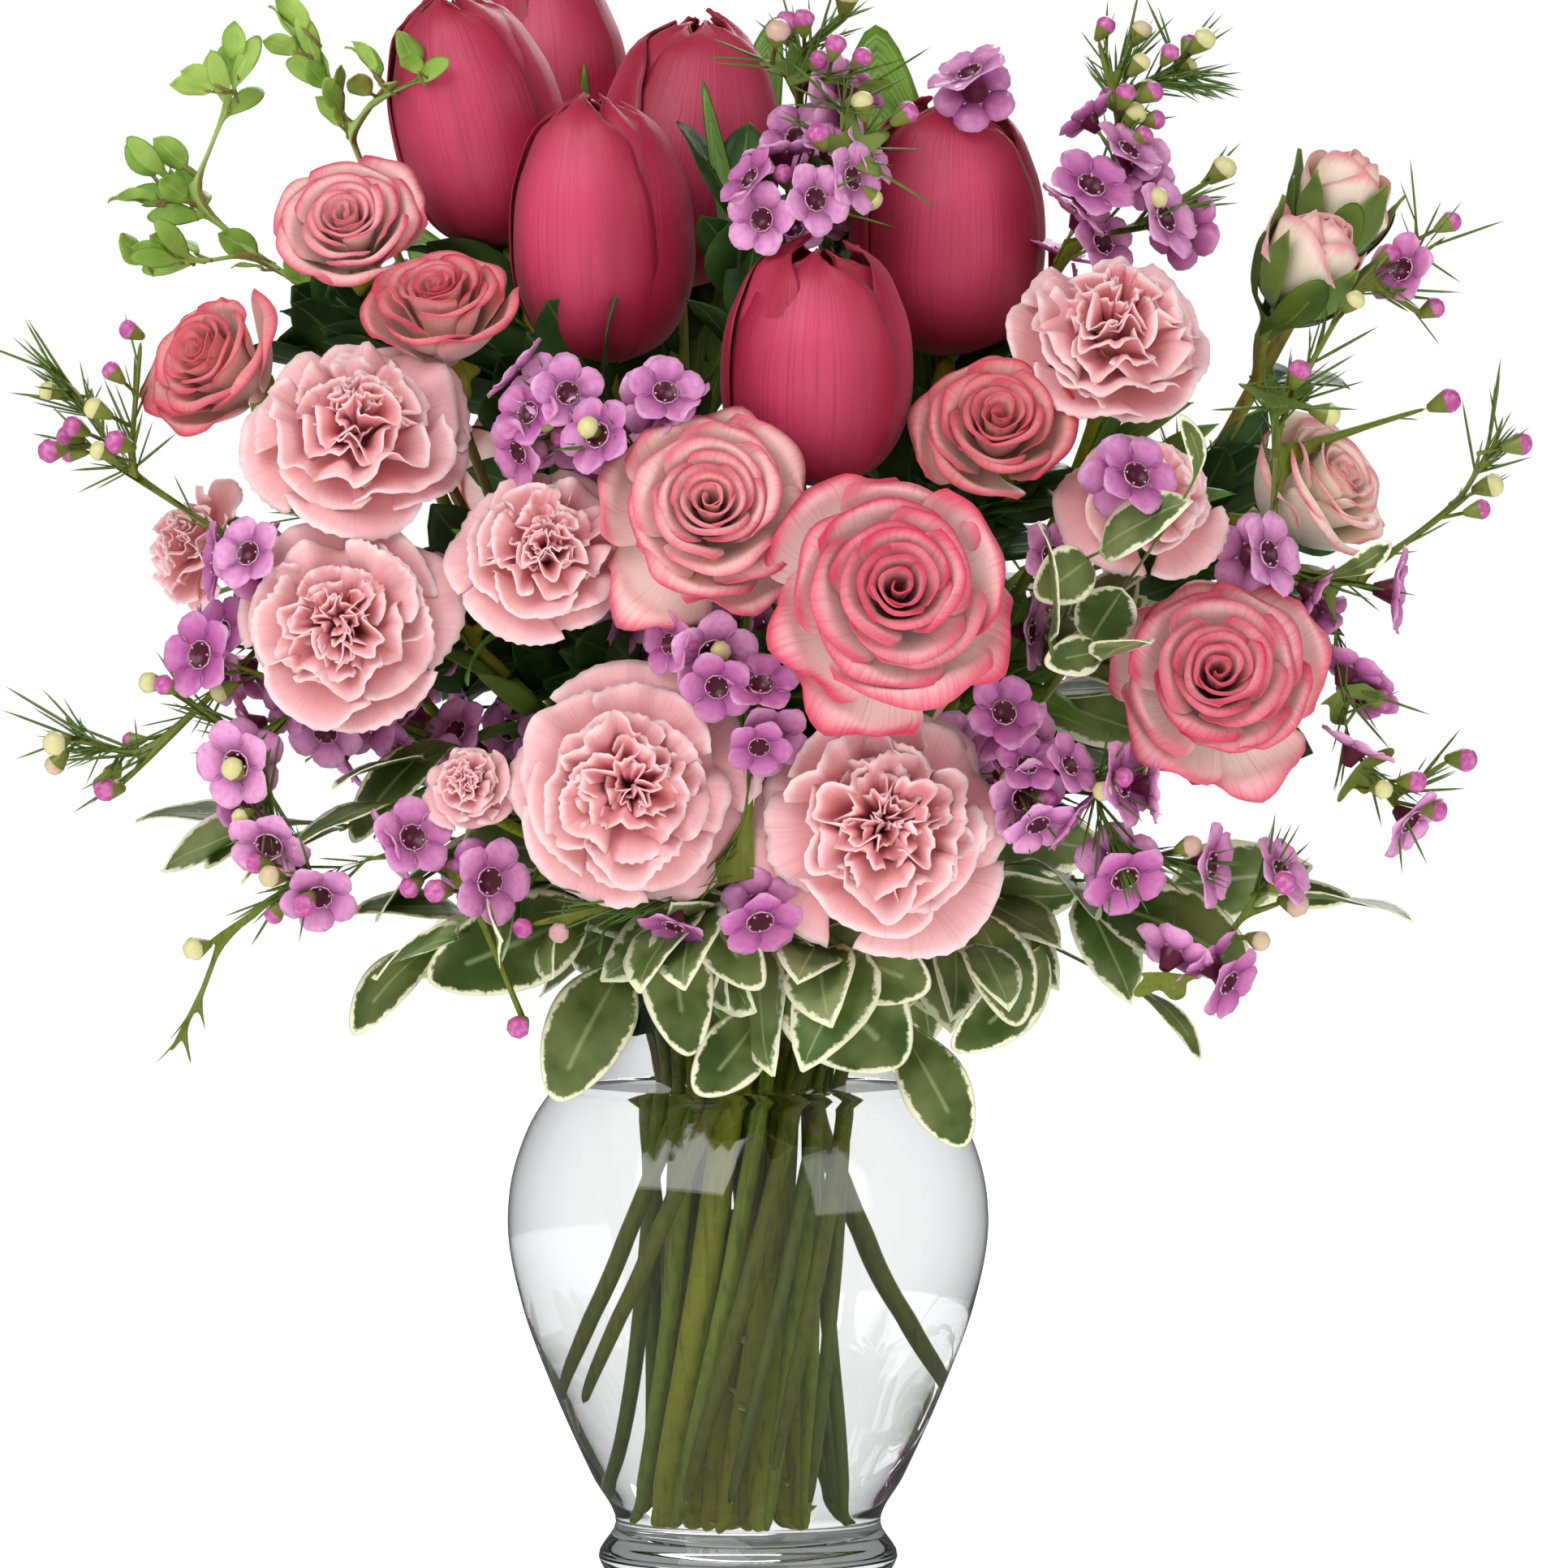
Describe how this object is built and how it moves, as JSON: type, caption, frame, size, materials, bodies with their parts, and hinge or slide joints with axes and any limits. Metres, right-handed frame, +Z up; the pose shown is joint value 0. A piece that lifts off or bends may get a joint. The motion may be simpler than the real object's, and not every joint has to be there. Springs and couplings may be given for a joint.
{
  "type": "mixed bouquet with tulips in a glass vase",
  "caption": "Cut tulips, spray roses, miniature carnations, waxflower and variegated leaves standing in a footed clear glass vase filled with water.",
  "frame": {"origin": "centre of the underside of the vase's foot", "axes": "+Z up along the vase's axis, -Y towards the front of the bouquet, X across it"},
  "size_m": [0.3415, 0.2259, 0.3738],
  "materials": {
    "glass": "clear, polished",
    "water": "clear water",
    "tulip_petal": "satin petal, streaked along its length",
    "rose_petal": "velvety petal, cream at the base and pink at the edge",
    "cream_petal": "velvety cream petal",
    "carnation_petal": "thin ruffled petal, paler at the edge",
    "waxflower": "waxy florets and buds on thin twigs",
    "tulip_green": "smooth fleshy stem and leaf",
    "leaf_green": "matte leaf and stem",
    "grey_leaf": "satin leaf with a cream edge",
    "light_leaf": "thin light green leaf"
  },
  "bodies": {
    "root": {"carnation_back": "carnation_petal", "carnation_far_left": "carnation_petal", "carnation_left": "carnation_petal", "carnation_low_left": "carnation_petal", "carnation_low_right": "carnation_petal", "carnation_middle_left": "carnation_petal", "carnation_right": "carnation_petal", "carnation_small": "carnation_petal", "carnation_stem_back": "leaf_green", "carnation_stem_far_left": "leaf_green", "carnation_stem_left": "leaf_green", "carnation_stem_middle": "leaf_green", "carnation_stem_right": "leaf_green", "carnation_upper_left": "carnation_petal", "carnation_upper_right": "carnation_petal", "light_twig_far_left": "light_leaf", "light_twig_left": "light_leaf", "pittosporum_back": "grey_leaf", "pittosporum_front": "grey_leaf", "pittosporum_left": "grey_leaf", "pittosporum_right": "grey_leaf", "pittosporum_upper_right": "grey_leaf", "rose_back": "rose_petal", "rose_bud_behind": "cream_petal", "rose_bud_right": "cream_petal", "rose_left": "rose_petal", "rose_middle": "rose_petal", "rose_middle_left": "rose_petal", "rose_right": "rose_petal", "rose_right_side": "rose_petal", "rose_stem_back": "leaf_green", "rose_stem_left": "leaf_green", "rose_stem_middle": "leaf_green", "rose_stem_right": "leaf_green", "rose_top_left": "rose_petal", "rose_upper_left": "rose_petal", "rose_upper_right": "rose_petal", "tulip_back_left": "tulip_petal", "tulip_front": "tulip_petal", "tulip_front_left": "tulip_petal", "tulip_left": "tulip_petal", "tulip_middle": "tulip_petal", "tulip_right": "tulip_petal", "tulip_stem_back_left": "tulip_green", "tulip_stem_front": "tulip_green", "tulip_stem_front_left": "tulip_green", "tulip_stem_left": "tulip_green", "tulip_stem_middle": "tulip_green", "tulip_stem_right": "tulip_green", "vase": "glass", "water": "water", "waxflower_back": "waxflower", "waxflower_far_left": "waxflower", "waxflower_low_left": "waxflower", "waxflower_low_right": "waxflower", "waxflower_middle": "waxflower", "waxflower_right": "waxflower", "waxflower_top": "waxflower", "waxflower_upper_right": "waxflower"}
  },
  "joints": []
}
